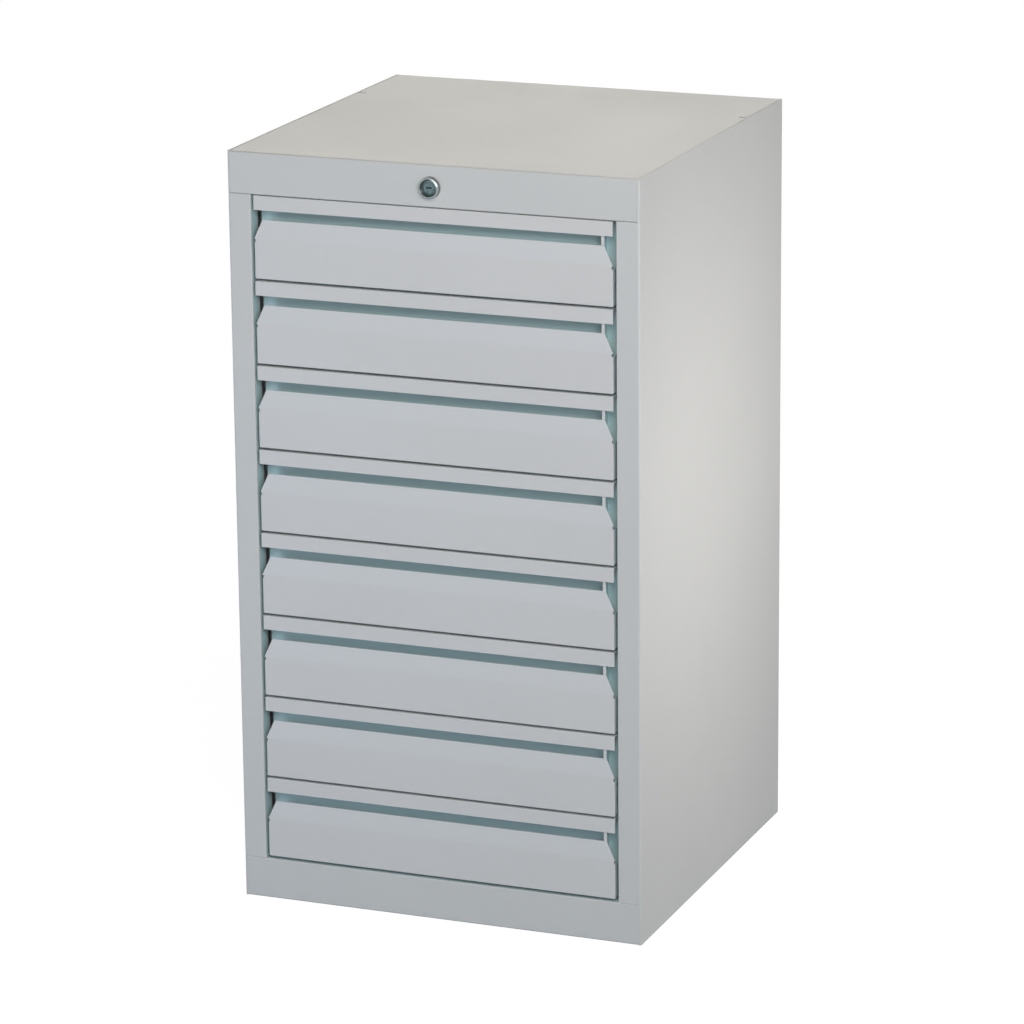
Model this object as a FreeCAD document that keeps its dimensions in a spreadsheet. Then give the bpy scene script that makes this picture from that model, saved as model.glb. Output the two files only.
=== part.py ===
import FreeCAD, Part
import math
import os
import re
import Sketcher
from FreeCAD import Placement, Rotation, Vector

# A steel cabinet with a stack of shallow drawers, one central cylinder lock in the
# fascia and a lock bar behind the right stile. Millimetres, +Z up, front towards -Y,
# origin on the floor under the middle of the casing.

drawer_count = 8
guided_drawers = (1, 4, 7)
# millimetres that a cut runs past the sheet, and that two edges may differ by
overcut = 1
tolerance = 0.01
quarter_turn = math.pi / 2

doc = FreeCAD.newDocument("DrawerCabinet")
sheet = doc.addObject("Spreadsheet::Sheet", "Sizes")

# alias, value and meaning of each size that can be set by itself
driving_sizes = [
    # casing
    ("casing_width", 500, "outside width"),
    ("casing_depth", 500, "outside depth"),
    ("plinth_height", 49.4, "front apron of the base, up to the opening"),
    ("fascia_height", 49, "front of the top cover, down to the opening"),
    ("casing_sheet", 1.2, "sheet of the sides, the top and the base"),
    ("back_sheet", 1.0, "sheet of the back panel"),
    ("stile_width", 28, "front face of a side, beside the opening"),
    ("stile_return", 20, "depth of the fold behind a stile"),
    ("rear_flange", 18, "fold along the back edge of a side"),
    ("rear_lip", 20, "fold along the back edge of the top cover"),
    ("apron_return", 20, "fold behind the fascia and under the aprons"),
    ("side_flange", 14, "folds of the top and base against the sides"),
    ("corner_face", 3, "front face of a side beside fascia and plinth"),
    ("casing_bend", 2.5, "outer bend radius of the casing"),
    ("tight_bend", 1.5, "outer bend radius at the opening and along the top's sides"),
    ("seam", 0.15, "open joint between two casing sheets"),
    ("notch_length", 12, "notch in the edge of the top, across"),
    ("notch_width", 4, "notch in the edge of the top, along"),
    ("notch_setback", 125, "notch to the back edge"),
    # drawers
    ("drawer_pitch", 100, "front to front"),
    ("drawer_gap", 2.8, "gap between two fronts"),
    ("top_gap", 1, "gap over the first front"),
    ("bottom_gap", 3.4, "gap under the last front"),
    ("side_gap", 3.8, "gap beside a front"),
    ("drawer_sheet", 1.0, "sheet of fronts and trays"),
    ("drawer_bend", 1.2, "outer bend radius of a front"),
    ("strip_height", 16.8, "front face over the grip"),
    ("grip_height", 11.2, "open height of the grip"),
    ("grip_depth", 18, "depth of the grip"),
    ("lip_height", 22.5, "upper part of a front, over the side folds"),
    ("lip_inset", 10.4, "inset of the lip's upper corners"),
    ("lip_lean", 0.8, "lean of the lip towards the back"),
    ("relief_height", 4, "corner relief under the lip"),
    ("relief_width", 1.6, "corner relief across"),
    ("grip_end_gap", 1.7, "grip wall's end to the front's end"),
    ("gusset_tab", 3.7, "front tab of the grip's gusset"),
    ("gusset_foot", 44.7, "lower end of the grip's gusset above the front's edge"),
    ("tray_inset", 13.2, "tray side to the front's end"),
    ("tray_height", 80, "outside height of a tray"),
    ("tray_lift", 3.5, "tray bottom above the front's lower edge"),
    ("tray_bend", 2.5, "outer bend radius of a tray"),
    ("hem_width", 4, "hem along the top of a tray's sides"),
    ("rear_space", 51, "tray to the back of the casing"),
    # runners
    ("runner_space", 12.7, "tray side to upright"),
    ("runner_height", 45, "height of the fixed runner"),
    ("runner_sheet", 1.3, "sheet of the runners"),
    ("runner_play", 0.35, "running gap between two runner sections"),
    ("runner_reach", 2, "outer runner sections to the tray"),
    ("runner_level", 31.5, "runner axis above the front's lower edge"),
    ("runner_setback", 28, "front end of the runners behind the front"),
    ("runner_rear", 22, "back end of the runners to the casing's back"),
    ("runner_bend", 2, "outer bend radius of a runner"),
    ("upright_sheet", 1.5, "sheet of the uprights"),
    ("upright_width", 30, "web of an upright"),
    ("upright_foot", 12, "feet of an upright on the side"),
    ("upright_setback", 30, "front and back uprights to front and back"),
    ("hook_height", 8, "runner hook, upright"),
    ("hook_reach", 5, "runner hook behind the upright's web"),
    ("hook_play", 0.4, "room round a hook in its slot"),
    # lock
    ("lock_drop", 26, "lock axis below the top"),
    ("collar_radius", 12.8, "lock collar where it meets the fascia"),
    ("collar_face", 12.2, "lock collar at its front"),
    ("collar_length", 6.5, "lock collar in front of the fascia"),
    ("collar_chamfer", 1, "chamfer round the collar's front"),
    ("rim_radius", 9.8, "inside of the collar's rim"),
    ("face_recess", 3, "recessed face of the collar behind its rim"),
    ("barrel_radius", 9.5, "threaded barrel of the lock"),
    ("barrel_length", 20, "lock barrel behind the fascia's face"),
    ("plug_radius", 7, "turning plug"),
    ("plug_play", 0.05, "radial play of the plug and of the rocker's stud"),
    ("plug_recess", 2.6, "plug face behind the collar's rim"),
    ("plug_step", 0.5, "plug past the barrel, and its tail past the cam"),
    ("key_width", 6.5, "key slot, long side"),
    ("key_height", 1.6, "key slot, short side"),
    ("key_depth", 9, "key slot, depth"),
    ("nut_flats", 24, "lock nut across flats"),
    ("nut_height", 4, "lock nut thickness"),
    ("tail_radius", 4, "plug tail in the cam"),
    ("cam_crank", 7, "cam pin to the plug's axis"),
    ("cam_angle", 45, "cam pin above the level when unlocked, in degrees"),
    ("cam_radius", 6.5, "outline of the cam"),
    ("lock_plate", 2, "thickness of cam, rocker, bar and hooks"),
    ("lock_pin", 2, "radius of the cam's and the bar's pin"),
    ("pin_length", 6, "pins and bracket behind the cam and the bar"),
    ("slot_play", 0.45, "play of a pin across its rocker slot"),
    ("rocker_pivot", 118, "rocker's stud to the lock's axis"),
    ("rocker_half", 7, "half the rocker's height"),
    ("rocker_gap", 1.5, "rocker behind the cam and the bar"),
    ("rocker_play", 0.5, "rocker to its spacer"),
    ("spacer_radius", 4.5, "spacer behind the rocker"),
    ("stud_radius", 2.5, "stud of the rocker"),
    ("bar_width", 20, "lock bar"),
    ("bar_setback", 25, "lock bar's back face behind the front"),
    ("bar_edge", 6, "lock bar to the outside of the casing"),
    ("hook_width", 24, "lock hook, across"),
    ("finger_height", 13, "lock hook, upright"),
    ("finger_slope", 4.5, "rise of the hook's lower edge towards its tip"),
    ("finger_gap", 2, "lock hook under its catch when unlocked"),
    ("catch_height", 10, "drawer catch, upright"),
    ("catch_reach", 15, "drawer catch beside the tray"),
    ("catch_level", 72.5, "drawer catch above the front's lower edge"),
    ("catch_sheet", 1.5, "sheet of the drawer catch"),
    ("catch_foot", 16, "drawer catch along the tray"),
    ("guide_height", 12, "bar guide"),
    ("guide_drop", 24, "bar guide under a hook"),
    ("guide_play", 0.3, "bar in its guide"),
]
for row, (alias, number, meaning) in enumerate(driving_sizes, start=1):
    sheet.set(f"A{row}", str(number))
    sheet.setAlias(f"A{row}", alias)
    sheet.set(f"B{row}", meaning)
doc.recompute()
aliases = {alias for alias, number, meaning in driving_sizes}

# places that follow from the driving sizes
half_width = "(casing_width / 2)"
front = "(-casing_depth / 2)"
back = "(casing_depth / 2)"
opening_top = f"(plinth_height + bottom_gap + {drawer_count} * drawer_pitch - drawer_gap + top_gap)"
casing_top = f"({opening_top} + fascia_height)"
wall_inside = f"({half_width} - casing_sheet)"
plate_half = f"({wall_inside} - seam)"
apron_half = f"({half_width} - corner_face - seam)"
opening_half = f"({half_width} - stile_width)"
drawer_half = f"({opening_half} - side_gap)"
front_height = "(drawer_pitch - drawer_gap)"
strip_bottom = f"({front_height} - strip_height)"
lip_top = f"({strip_bottom} - grip_height)"
lip_foot = f"({lip_top} - lip_height)"
grip_wall = f"({front} + grip_depth)"
tray_front = f"({grip_wall} + drawer_sheet)"
tray_back = f"({back} - rear_space)"
tray_half = f"({drawer_half} - tray_inset)"
upright_face = f"({tray_half} + runner_space)"
runner_front = f"({front} + runner_setback)"
runner_back = f"({back} - runner_rear)"
lock_level = f"({casing_top} - lock_drop)"
bar_face = f"({front} + bar_setback)"
bar_outer = f"({half_width} - bar_edge)"
bar_inner = f"({bar_outer} - bar_width)"
bar_middle = f"({bar_outer} - bar_width / 2)"
cam_offset = "(cam_crank * cos(cam_angle))"
rocker_tilt = f"(atan({cam_offset} / (rocker_pivot - {cam_offset})))"
rocker_arm = f"({bar_middle} - rocker_pivot)"
rocker_rear = f"({bar_face} + rocker_gap + lock_plate)"
pin_tip = f"({bar_face} + pin_length)"
bar_travel = f"(2 * {rocker_arm} * {cam_offset} / (rocker_pivot - {cam_offset}))"


def bound(text):
    # the expression with each alias as a reference to the sheet
    return re.sub(r"[a-z_]+", lambda word: "Sizes." + word[0] if word[0] in aliases else word[0], text)


def value(text):
    return float(sheet.evalExpression(bound(text)))


def new_body(name):
    body = doc.addObject("PartDesign::Body", name)
    body.Label = name
    return body


def new_sketch(body, plane, offset="0"):
    # offset moves the sketch along its normal: +Z on XY, +X on YZ, -Y on XZ
    sketch = body.newObject("Sketcher::SketchObject", body.Name + "_sketch")
    planes = [feature for feature in body.Origin.OriginFeatures if feature.Role == plane + "_Plane"]
    sketch.AttachmentSupport = [(planes[0], "")]
    sketch.MapMode = "FlatFace"
    sketch.setExpression("AttachmentOffset.Base.z", bound(offset))
    return sketch


def place_point(sketch, geometry, point, corner):
    # ties a point's two coordinates to expressions
    for kind, text in zip(("DistanceX", "DistanceY"), corner):
        tie = sketch.addConstraint(Sketcher.Constraint(kind, -1, 1, geometry, point, value(text)))
        sketch.setExpression(f"Constraints[{tie}]", bound(text))


def polygon(sketch, corners):
    points = [Vector(value(u), value(v), 0) for u, v in corners]
    count = len(points)
    first = sketch.GeometryCount
    for index in range(count):
        sketch.addGeometry(Part.LineSegment(points[index], points[(index + 1) % count]), False)
    for index in range(count):
        following = first + (index + 1) % count
        sketch.addConstraint(Sketcher.Constraint("Coincident", first + index, 2, following, 1))
        place_point(sketch, first + index, 1, corners[index])


def rectangle(sketch, low, high):
    (left, lower), (right, upper) = low, high
    polygon(sketch, [(left, lower), (right, lower), (right, upper), (left, upper)])


def mirrored(corners):
    return [(f"-({u})", v) for u, v in corners]


def circle(sketch, centre, radius):
    middle = Vector(value(centre[0]), value(centre[1]), 0)
    ring = sketch.addGeometry(Part.Circle(middle, Vector(0, 0, 1), value(radius)), False)
    place_point(sketch, ring, 3, centre)
    size = sketch.addConstraint(Sketcher.Constraint("Radius", ring, value(radius)))
    sketch.setExpression(f"Constraints[{size}]", bound(radius))


def obround(sketch, left, right, level, radius):
    # two half circles at one level, joined by tangent lines
    start, end, height, size = value(left), value(right), value(level), value(radius)
    ends = []
    for middle, turn, centre in ((start, 1, left), (end, -1, right)):
        ring = Part.Circle(Vector(middle, height, 0), Vector(0, 0, 1), size)
        half_ring = Part.ArcOfCircle(ring, turn * quarter_turn, (turn + 2) * quarter_turn)
        arc = sketch.addGeometry(half_ring, False)
        place_point(sketch, arc, 3, (centre, level))
        limit = sketch.addConstraint(Sketcher.Constraint("Radius", arc, size))
        sketch.setExpression(f"Constraints[{limit}]", bound(radius))
        ends.append(arc)
    left_arc, right_arc = ends
    lower_run = Part.LineSegment(Vector(start, height - size, 0), Vector(end, height - size, 0))
    upper_run = Part.LineSegment(Vector(end, height + size, 0), Vector(start, height + size, 0))
    lower = sketch.addGeometry(lower_run, False)
    upper = sketch.addGeometry(upper_run, False)
    order = [left_arc, lower, right_arc, upper, left_arc]
    for before, after in zip(order, order[1:]):
        sketch.addConstraint(Sketcher.Constraint("Tangent", before, 2, after, 1))


def settle(body, feature):
    # recomputes with the new feature last and stops at the first one that fails
    body.Tip = feature
    doc.recompute()
    if feature.Shape.isNull() or not feature.Shape.isValid():
        raise RuntimeError(f"{body.Label}: {feature.Name} fails, {feature.getStatusString()}")


def pad(body, sketch, length, symmetric=False, reverse=False):
    feature = body.newObject("PartDesign::Pad", body.Name + "_pad")
    feature.Profile = sketch
    feature.setExpression("Length", bound(length))
    feature.SideType = "Symmetric" if symmetric else "One side"
    feature.Reversed = reverse
    settle(body, feature)


def pocket(body, sketch, length, symmetric=False, reverse=False):
    before = body.Shape.Volume
    feature = body.newObject("PartDesign::Pocket", body.Name + "_pocket")
    feature.Profile = sketch
    feature.setExpression("Length", bound(length))
    feature.SideType = "Symmetric" if symmetric else "One side"
    feature.Reversed = reverse
    settle(body, feature)
    if feature.Shape.Volume > before - tolerance:
        raise RuntimeError(f"{body.Label}: {feature.Name} cuts nothing")


def edges_along(shape, axis, places):
    # names of the straight edges along an axis that cross it at the given places
    others = [index for index in range(3) if index != axis]
    found = []
    for number, edge in enumerate(shape.Edges, start=1):
        start, end = edge.Vertexes[0].Point, edge.Vertexes[-1].Point
        run = [abs(end[index] - start[index]) for index in range(3)]
        straight = all(run[index] < tolerance for index in others) and run[axis] > tolerance
        for place in places:
            near = all(abs(start[index] - place[slot]) < tolerance for slot, index in enumerate(others))
            if straight and near:
                found.append(f"Edge{number}")
    return found


def bend(body, axis, places, radius):
    # rounds the sheet's folds: places are the two other coordinates of each fold
    marks = [(value(first), value(second)) for first, second in places]
    names = edges_along(body.Shape, "XYZ".index(axis), marks)
    if len(names) < len(places):
        raise RuntimeError(body.Label + ": a fold is missing")
    base = body.Tip
    feature = body.newObject("PartDesign::Fillet", body.Name + "_bend")
    feature.Base = (base, names)
    feature.setExpression("Radius", bound(radius))
    settle(body, feature)


def place(body, x="0", y="0", z="0"):
    for name, text in (("x", x), ("y", y), ("z", z)):
        body.setExpression("Placement.Base." + name, bound(text))


def tilt(body, angle, sense):
    # turns a body about its own Y axis
    body.Placement = Placement(Vector(0, 0, 0), Rotation(Vector(0, sense, 0), value(angle)))
    body.setExpression("Placement.Rotation.Angle", bound(angle))


def group(name, members):
    # separate solids that share a node
    compound = doc.addObject("Part::Compound", name)
    compound.Label = name
    compound.Links = members
    doc.recompute()
    return compound


subparts = []


# ---- casing ----


def build_side(name, sign):
    body = new_body(name)
    sketch = new_sketch(body, "XY")
    stile_edge = f"{half_width} - stile_width"
    flange_edge = f"{half_width} - rear_flange"
    outline = [
        (flange_edge, back),
        (half_width, back),
        (half_width, front),
        (stile_edge, front),
        (stile_edge, f"{front} + stile_return"),
        (f"{stile_edge} + casing_sheet", f"{front} + stile_return"),
        (f"{stile_edge} + casing_sheet", f"{front} + casing_sheet"),
        (wall_inside, f"{front} + casing_sheet"),
        (wall_inside, f"{back} - casing_sheet"),
        (flange_edge, f"{back} - casing_sheet"),
    ]
    polygon(sketch, outline if sign > 0 else mirrored(outline))
    pad(body, sketch, casing_top)
    corners = [(half_width, back), (half_width, front)]
    inside = [(wall_inside, f"{front} + casing_sheet"), (wall_inside, f"{back} - casing_sheet")]
    edge = [(stile_edge, front)]
    edge_inside = [(f"{stile_edge} + casing_sheet", f"{front} + casing_sheet")]
    for places, radius in (
        (corners, "casing_bend"),
        (inside, "casing_bend - casing_sheet"),
        (edge, "tight_bend"),
        (edge_inside, "tight_bend - casing_sheet"),
    ):
        bend(body, "Z", places if sign > 0 else mirrored(places), radius)
    # the folds stop at the fascia, the plinth and the lip of the top cover
    sketch = new_sketch(body, "XZ")
    limit = f"{half_width} - corner_face"
    beside = f"{stile_edge} - {overcut}"
    above = f"{casing_top} + {overcut}"
    for low, high in ((f"-{overcut}", "plinth_height + seam"), (f"{opening_top} - seam", above)):
        corners = [(beside, low), (limit, low), (limit, high), (beside, high)]
        polygon(sketch, corners if sign > 0 else mirrored(corners))
    pocket(body, sketch, f"-{front} + {overcut}", reverse=True)
    sketch = new_sketch(body, "XZ")
    beside = f"{flange_edge} - {overcut}"
    for low, high in ((f"-{overcut}", "plinth_height + seam"), (f"{casing_top} - rear_lip - seam", above)):
        corners = [(beside, low), (limit, low), (limit, high), (beside, high)]
        polygon(sketch, corners if sign > 0 else mirrored(corners))
    pocket(body, sketch, f"{back} + {overcut}")
    subparts.append(body)


def trim_to_aprons(body, low, high):
    # the sheet is narrower where it comes forward and back between the sides' corners
    reach = "casing_bend + seam"
    sketch = new_sketch(body, "XY", low)
    beside = f"{half_width} + {overcut}"
    for start, end in (
        (f"{front} - {overcut}", f"{front} + {reach}"),
        (f"{back} - {reach}", f"{back} + {overcut}"),
    ):
        corners = [(apron_half, start), (beside, start), (beside, end), (apron_half, end)]
        polygon(sketch, corners)
        polygon(sketch, mirrored(corners))
    pocket(body, sketch, f"{high} - ({low})", reverse=True)


def add_side_flanges(body, top):
    # folds that lie against the insides of the two sides
    sketch = new_sketch(body, "XZ")
    corners = [
        (f"{plate_half} - casing_sheet", f"{top} - side_flange"),
        (plate_half, f"{top} - side_flange"),
        (plate_half, top),
        (f"{plate_half} - casing_sheet", top),
    ]
    polygon(sketch, corners)
    polygon(sketch, mirrored(corners))
    pad(body, sketch, "casing_depth", symmetric=True)


def round_side_edges(body):
    # the top folds down beside each side: what lies outside the bend's arc is cut off
    sketch = new_sketch(body, "XZ")
    start = value(f"{plate_half} - tight_bend")
    level = value(f"{casing_top} - tight_bend")
    for sign in (1, -1):
        ring = Part.Circle(Vector(sign * start, level, 0), Vector(0, 0, 1), value("tight_bend"))
        first, last = (0, quarter_turn) if sign > 0 else (quarter_turn, 2 * quarter_turn)
        arc = sketch.addGeometry(Part.ArcOfCircle(ring, first, last), False)
        tie = sketch.addConstraint(Sketcher.Constraint("DistanceX", -1, 1, arc, 3, sign * start))
        sketch.setExpression(f"Constraints[{tie}]", bound(f"{sign} * ({plate_half} - tight_bend)"))
        corners = [
            (f"{sign} * {plate_half}", f"{casing_top} - tight_bend"),
            (f"{sign} * ({plate_half} + {overcut})", f"{casing_top} - tight_bend"),
            (f"{sign} * ({plate_half} + {overcut})", f"{casing_top} + {overcut}"),
            (f"{sign} * ({plate_half} - tight_bend)", f"{casing_top} + {overcut}"),
            (f"{sign} * ({plate_half} - tight_bend)", casing_top),
        ]
        points = [Vector(value(u), value(v), 0) for u, v in corners]
        lines = [sketch.addGeometry(Part.LineSegment(*pair), False) for pair in zip(points, points[1:])]
        for index, line in enumerate(lines):
            place_point(sketch, line, 1, corners[index])
            if index > 0:
                sketch.addConstraint(Sketcher.Constraint("Coincident", lines[index - 1], 2, line, 1))
        place_point(sketch, lines[-1], 2, corners[-1])
        side_end, top_end = (1, 2) if sign > 0 else (2, 1)
        sketch.addConstraint(Sketcher.Constraint("Coincident", arc, side_end, lines[0], 1))
        sketch.addConstraint(Sketcher.Constraint("Coincident", arc, top_end, lines[-1], 2))
    pocket(body, sketch, "casing_depth - 2 * (casing_bend + seam)", symmetric=True)


def build_top_cover():
    body = new_body("top_cover")
    sketch = new_sketch(body, "YZ")
    underside = f"{casing_top} - casing_sheet"
    polygon(sketch, [
        (f"{front} + apron_return", opening_top),
        (front, opening_top),
        (front, casing_top),
        (back, casing_top),
        (back, f"{casing_top} - rear_lip"),
        (f"{back} - casing_sheet", f"{casing_top} - rear_lip"),
        (f"{back} - casing_sheet", underside),
        (f"{front} + casing_sheet", underside),
        (f"{front} + casing_sheet", f"{opening_top} + casing_sheet"),
        (f"{front} + apron_return", f"{opening_top} + casing_sheet"),
    ])
    pad(body, sketch, f"2 * {plate_half}", symmetric=True)
    bend(body, "X", [(front, casing_top), (back, casing_top)], "casing_bend")
    bend(body, "X", [
        (f"{front} + casing_sheet", underside),
        (f"{back} - casing_sheet", underside),
    ], "casing_bend - casing_sheet")
    inner = (f"{front} + casing_sheet", f"{opening_top} + casing_sheet")
    bend(body, "X", [(front, opening_top)], "tight_bend")
    bend(body, "X", [inner], "tight_bend - casing_sheet")
    add_side_flanges(body, casing_top)
    trim_to_aprons(body, f"{opening_top} - {overcut}", f"{casing_top} + {overcut}")
    round_side_edges(body)
    # hole for the lock
    sketch = new_sketch(body, "XZ")
    circle(sketch, ("0", lock_level), "barrel_radius + seam / 2")
    pocket(body, sketch, f"-{front} + {overcut}", reverse=True)
    # a small notch in each side edge
    sketch = new_sketch(body, "XY", f"{casing_top} - side_flange / 2")
    middle = f"{back} - notch_setback"
    corners = [
        (f"{half_width} - notch_length", f"{middle} - notch_width / 2"),
        (half_width, f"{middle} - notch_width / 2"),
        (half_width, f"{middle} + notch_width / 2"),
        (f"{half_width} - notch_length", f"{middle} + notch_width / 2"),
    ]
    polygon(sketch, corners)
    polygon(sketch, mirrored(corners))
    pocket(body, sketch, "side_flange", reverse=True)
    subparts.append(body)


def build_base_pan():
    body = new_body("base_pan")
    sketch = new_sketch(body, "YZ")
    underside = "plinth_height - casing_sheet"
    polygon(sketch, [
        (f"{front} + apron_return", "0"),
        (front, "0"),
        (front, "plinth_height"),
        (back, "plinth_height"),
        (back, "0"),
        (f"{back} - apron_return", "0"),
        (f"{back} - apron_return", "casing_sheet"),
        (f"{back} - casing_sheet", "casing_sheet"),
        (f"{back} - casing_sheet", underside),
        (f"{front} + casing_sheet", underside),
        (f"{front} + casing_sheet", "casing_sheet"),
        (f"{front} + apron_return", "casing_sheet"),
    ])
    pad(body, sketch, f"2 * {plate_half}", symmetric=True)
    bend(body, "X", [(front, "0"), (back, "plinth_height"), (back, "0")], "casing_bend")
    bend(body, "X", [
        (f"{front} + casing_sheet", "casing_sheet"),
        (f"{back} - casing_sheet", underside),
        (f"{back} - casing_sheet", "casing_sheet"),
    ], "casing_bend - casing_sheet")
    bend(body, "X", [(front, "plinth_height")], "tight_bend")
    bend(body, "X", [(f"{front} + casing_sheet", underside)], "tight_bend - casing_sheet")
    add_side_flanges(body, "plinth_height")
    trim_to_aprons(body, f"-{overcut}", f"plinth_height + {overcut}")
    subparts.append(body)


def build_back_panel():
    body = new_body("back_panel")
    sketch = new_sketch(body, "XZ", f"-({back} - casing_sheet)")
    reach = f"{wall_inside} - casing_bend"
    rectangle(sketch, (f"-({reach})", "plinth_height"), (reach, f"{casing_top} - casing_bend"))
    pad(body, sketch, "back_sheet")
    subparts.append(body)


def build_uprights(name, sign):
    # hat sections between the side and the runners, one near the front, one near the back
    members = []
    for end, low in (
        ("front", f"{front} + upright_setback"),
        ("back", f"{back} - upright_setback - upright_width"),
    ):
        body = new_body(f"{name}_{end}")
        sketch = new_sketch(body, "XY", "plinth_height")
        high = f"{low} + upright_width"
        hat = [
            (wall_inside, f"{low} - upright_foot"),
            (wall_inside, f"{low} + upright_sheet"),
            (f"{upright_face} + upright_sheet", f"{low} + upright_sheet"),
            (f"{upright_face} + upright_sheet", f"{high} - upright_sheet"),
            (wall_inside, f"{high} - upright_sheet"),
            (wall_inside, f"{high} + upright_foot"),
            (f"{wall_inside} - upright_sheet", f"{high} + upright_foot"),
            (f"{wall_inside} - upright_sheet", high),
            (upright_face, high),
            (upright_face, low),
            (f"{wall_inside} - upright_sheet", low),
            (f"{wall_inside} - upright_sheet", f"{low} - upright_foot"),
        ]
        polygon(sketch, hat if sign > 0 else mirrored(hat))
        pad(body, sketch, f"{opening_top} - plinth_height")
        # a slot for each runner's hook
        sketch = new_sketch(body, "YZ", f"{sign} * {upright_face}")
        middle = f"{low} + upright_width / 2"
        for place_up in range(drawer_count):
            level = f"plinth_height + bottom_gap + {place_up} * drawer_pitch + runner_level"
            half_slot = "(hook_height / 2 + hook_play)"
            half_open = "(runner_sheet / 2 + hook_play)"
            rectangle(
                sketch,
                (f"{middle} - {half_open}", f"{level} - {half_slot}"),
                (f"{middle} + {half_open}", f"{level} + {half_slot}"),
            )
        pocket(body, sketch, f"2 * (upright_sheet + {overcut})", symmetric=True)
        members.append(body)
    subparts.append(group(name, members))


# ---- runners ----


def channel(body, sign, web_side, web_inner, web_outer, tip, half):
    # a C section on its side: web between two distances, flanges out to the tip
    sketch = new_sketch(body, "XZ", f"-{runner_back}")
    near = web_outer if web_side == "outer" else web_inner
    far = web_inner if web_side == "outer" else web_outer
    section = [
        (near, f"-({half})"),
        (tip, f"-({half})"),
        (tip, f"-({half}) + runner_sheet"),
        (far, f"-({half}) + runner_sheet"),
        (far, f"{half} - runner_sheet"),
        (tip, f"{half} - runner_sheet"),
        (tip, half),
        (near, half),
    ]
    polygon(sketch, section if sign > 0 else mirrored(section))
    pad(body, sketch, f"{runner_back} - {runner_front}")
    corners = [(near, f"-({half})"), (near, half)]
    bend(body, "Y", corners if sign > 0 else mirrored(corners), "runner_bend")


fixed_half = "(runner_height / 2)"
middle_half = f"({fixed_half} - runner_sheet - runner_play)"
moving_half = f"({middle_half} - runner_sheet - runner_play)"
fixed_web = f"({upright_face} - runner_sheet)"
middle_web = f"({fixed_web} - runner_play - runner_sheet)"
moving_web = f"({tray_half} + runner_sheet)"


def runner_body(name, sign, section):
    body = new_body(name)
    if section == "fixed":
        channel(body, sign, "outer", fixed_web, upright_face, f"{tray_half} + runner_reach", fixed_half)
    if section == "middle":
        outer_face = f"({middle_web} + runner_sheet)"
        channel(body, sign, "outer", middle_web, outer_face, f"{tray_half} + runner_reach", middle_half)
    if section == "moving":
        channel(body, sign, "inner", tray_half, moving_web, f"{middle_web} - runner_play", moving_half)
    return body


def build_fixed_runners(name, sign):
    members = []
    for place_up in range(drawer_count):
        body = runner_body(f"{name}_{place_up + 1}", sign, "fixed")
        # hooks that hang in the uprights' slots
        sketch = new_sketch(body, "XY", "-hook_height / 2")
        for middle in (
            f"{front} + upright_setback + upright_width / 2",
            f"{back} - upright_setback - upright_width / 2",
        ):
            corners = [
                (f"{upright_face} - runner_sheet / 2", f"{middle} - runner_sheet / 2"),
                (f"{upright_face} + hook_reach", f"{middle} - runner_sheet / 2"),
                (f"{upright_face} + hook_reach", f"{middle} + runner_sheet / 2"),
                (f"{upright_face} - runner_sheet / 2", f"{middle} + runner_sheet / 2"),
            ]
            polygon(sketch, corners if sign > 0 else mirrored(corners))
        pad(body, sketch, "hook_height")
        level = f"plinth_height + bottom_gap + {place_up} * drawer_pitch + runner_level"
        place(body, z=level)
        members.append(body)
    subparts.append(group(name, members))


def drawer_floor(number):
    # lower edge of a drawer's front, the first drawer being the highest
    return f"(plinth_height + bottom_gap + {drawer_count - number} * drawer_pitch)"


def build_middle_runners(number):
    members = []
    for side, sign in (("left", -1), ("right", 1)):
        body = runner_body(f"runner_middle_{number}_{side}", sign, "middle")
        place(body, z=f"{drawer_floor(number)} + runner_level")
        members.append(body)
    subparts.append(group(f"runner_middle_{number}", members))


# ---- drawers ----


def build_front(number):
    body = new_body(f"drawer_{number}_front")
    sheet_back = f"{front} + drawer_sheet"
    sketch = new_sketch(body, "YZ")
    polygon(sketch, [
        (tray_front, "0"),
        (front, "0"),
        (front, lip_foot),
        (f"{front} + lip_lean", lip_top),
        (f"{sheet_back} + lip_lean", lip_top),
        (sheet_back, lip_foot),
        (sheet_back, "drawer_sheet"),
        (tray_front, "drawer_sheet"),
    ])
    pad(body, sketch, f"2 * {drawer_half}", symmetric=True)
    # side folds up to the relief under the lip
    sketch = new_sketch(body, "XY")
    corners = [
        (f"{drawer_half} - drawer_sheet", front),
        (drawer_half, front),
        (drawer_half, tray_front),
        (f"{drawer_half} - drawer_sheet", tray_front),
    ]
    polygon(sketch, corners)
    polygon(sketch, mirrored(corners))
    pad(body, sketch, f"{lip_foot} - relief_height")
    # slanted ends of the lip and the corner reliefs
    sketch = new_sketch(body, "XZ")
    beside = f"{drawer_half} + {overcut}"
    corners = [
        (f"{drawer_half} - relief_width", f"{lip_foot} - relief_height"),
        (beside, f"{lip_foot} - relief_height"),
        (beside, f"{lip_top} + {overcut}"),
        (f"{drawer_half} - lip_inset", f"{lip_top} + {overcut}"),
        (f"{drawer_half} - lip_inset", lip_top),
        (drawer_half, lip_foot),
        (f"{drawer_half} - relief_width", lip_foot),
    ]
    polygon(sketch, corners)
    polygon(sketch, mirrored(corners))
    pocket(body, sketch, f"-{front} + {overcut}", reverse=True)
    bend(body, "Z", [(drawer_half, front), (f"-{drawer_half}", front)], "drawer_bend")
    bend(body, "X", [(front, "0")], "drawer_bend")
    place(body, z=drawer_floor(number))
    subparts.append(body)


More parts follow.
